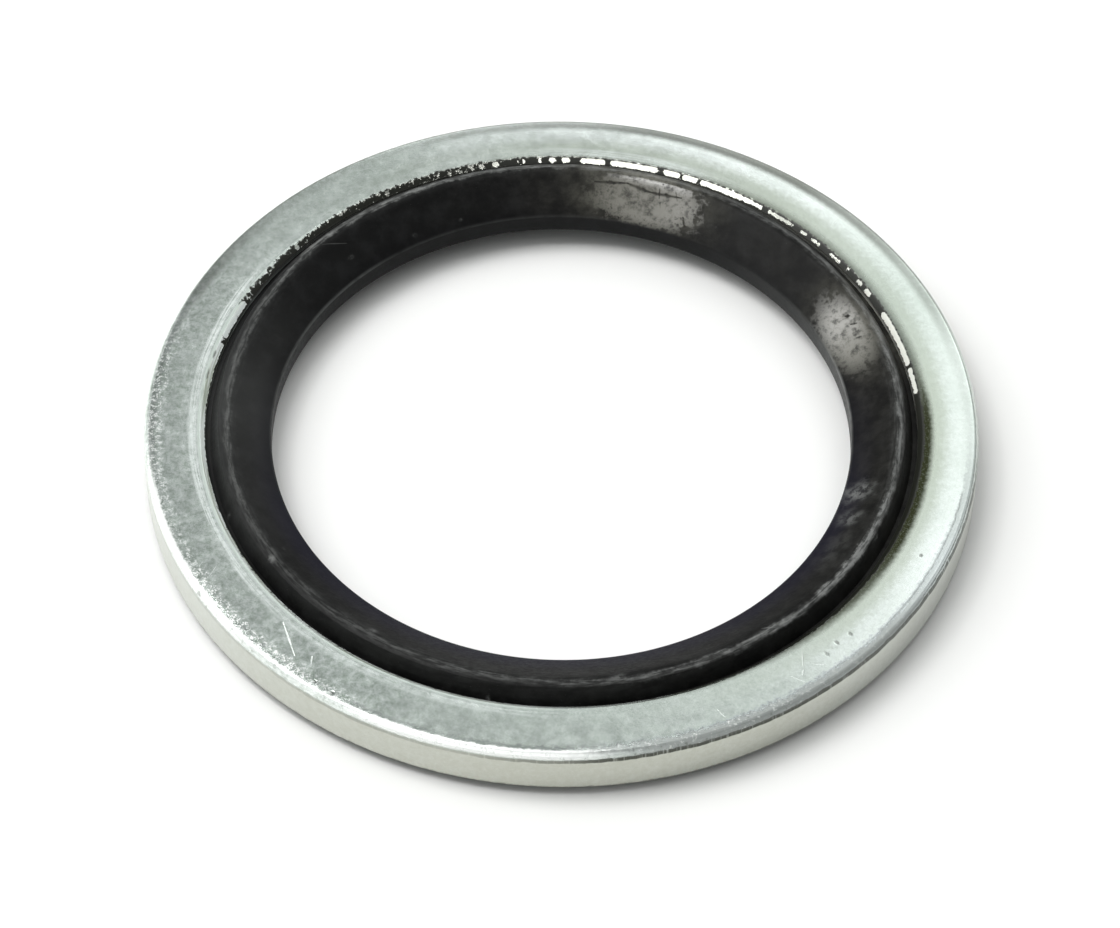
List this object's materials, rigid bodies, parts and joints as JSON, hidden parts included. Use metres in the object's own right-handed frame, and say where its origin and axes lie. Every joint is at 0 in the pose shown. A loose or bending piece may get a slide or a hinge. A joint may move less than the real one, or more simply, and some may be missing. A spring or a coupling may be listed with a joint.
{
  "type": "bonded sealing washer",
  "caption": "Flat steel ring with a black rubber sealing ring bonded to its bore; seals under a screw head or pipe fitting.",
  "frame": {"origin": "on the ring's axis, in the plane that the washer rests on, which is the crest of its lower rubber lip", "axes": "+Z along the ring's axis, towards the face whose steel edges are rolled over; X and Y are free"},
  "size_m": [0.024, 0.024, 0.0021],
  "materials": {
    "zinc_plated_steel": "pale zinc plating, satin, with tumbling marks and scratches",
    "black_rubber": "moulded nitrile rubber, satin black, dusty on the lip crest"
  },
  "bodies": {
    "root": {"steel_ring": "zinc_plated_steel", "rubber_seal": "black_rubber"}
  },
  "joints": []
}
